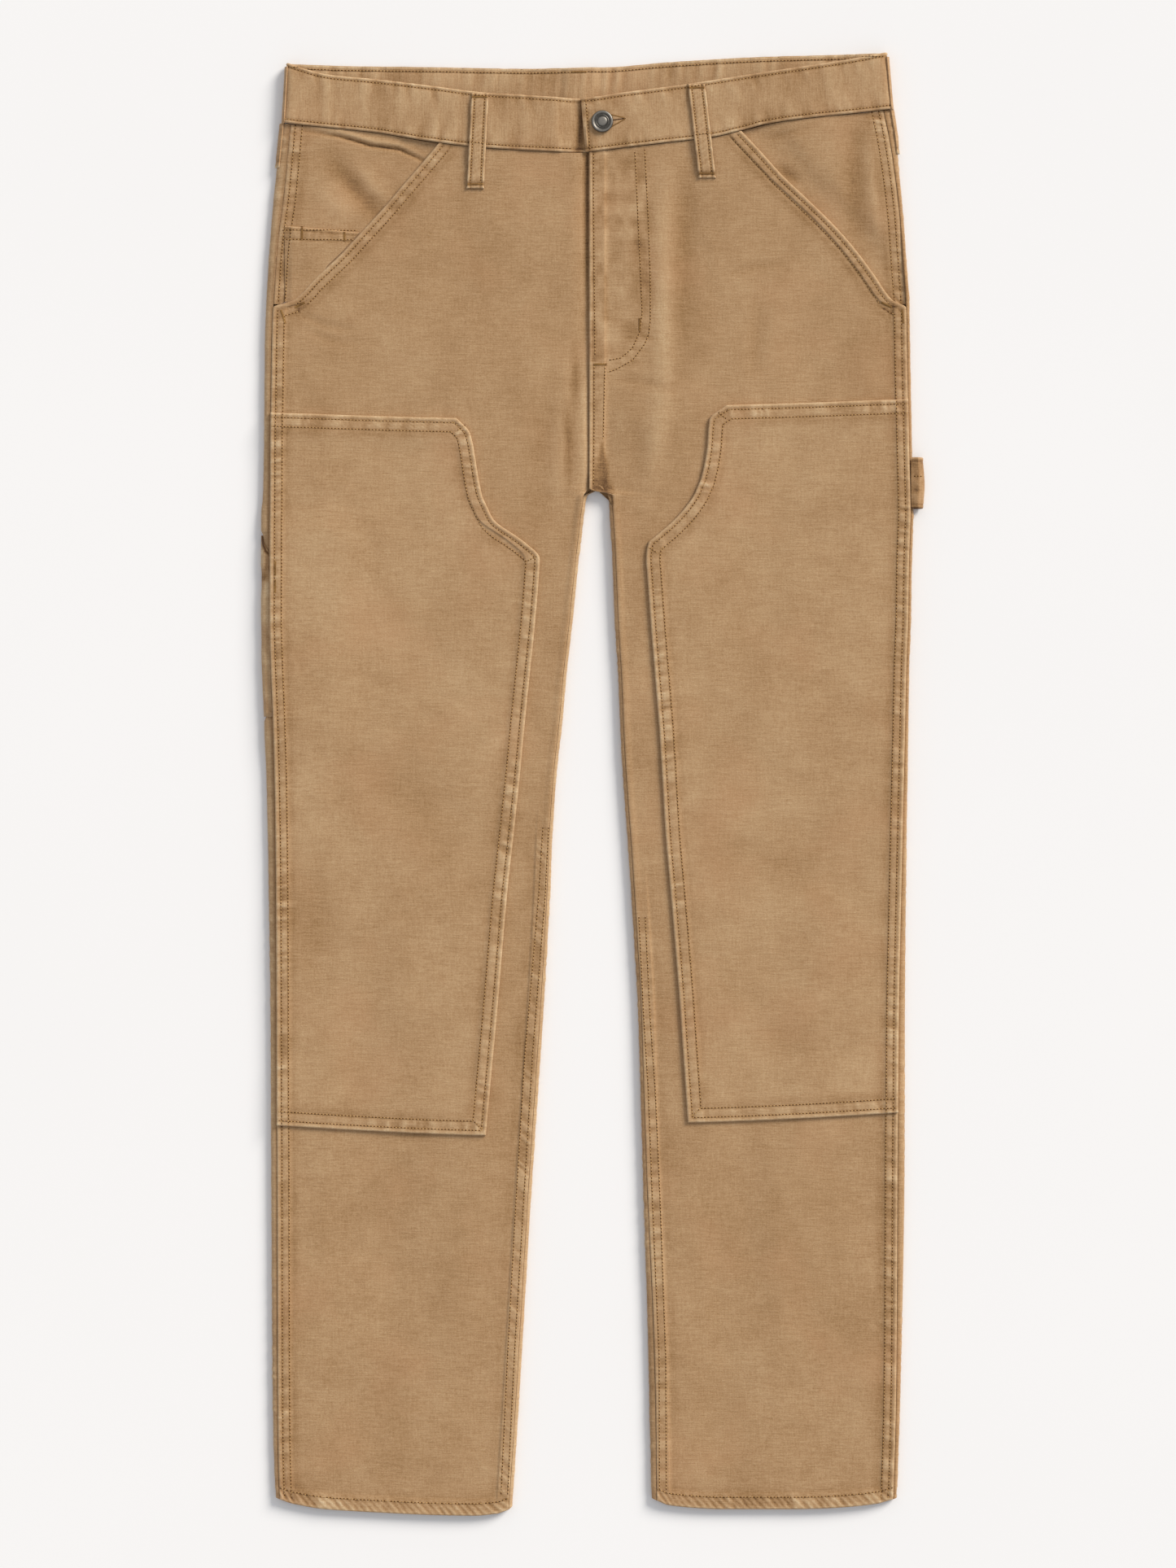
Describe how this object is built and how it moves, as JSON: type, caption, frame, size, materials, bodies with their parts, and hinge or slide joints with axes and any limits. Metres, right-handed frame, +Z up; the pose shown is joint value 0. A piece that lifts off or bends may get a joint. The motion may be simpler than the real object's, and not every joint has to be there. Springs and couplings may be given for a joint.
{
  "type": "carpenter pants",
  "caption": "Work trousers in brown cotton duck, laid flat on their back, with slanted front pockets, knee patches, tool pocket, hammer loop and belt loops.",
  "frame": {"origin": "middle of the footprint, on the surface that the pants lie on", "axes": "+X towards the wearer's left, +Y towards the waist, +Z up from the surface, out of the front of the pants"},
  "size_m": [0.51, 1.1247, 0.0115],
  "materials": {
    "duck": "washed plain-weave cotton duck, tan brown, matt",
    "pewter": "dull antique pewter"
  },
  "bodies": {
    "root": {"front_panel_right": "duck", "front_panel_left": "duck", "back_panel_right": "duck", "back_panel_left": "duck", "knee_patch_right": "duck", "knee_patch_left": "duck", "hip_pocket_facing_right": "duck", "hip_pocket_facing_left": "duck", "coin_pocket": "duck", "tool_pocket": "duck", "waistband": "duck", "belt_loop_front_right": "duck", "belt_loop_front_left": "duck", "belt_loop_side_right": "duck", "belt_loop_side_left": "duck", "belt_loop_back": "duck", "hammer_loop": "duck", "waist_button": "pewter"}
  },
  "joints": []
}
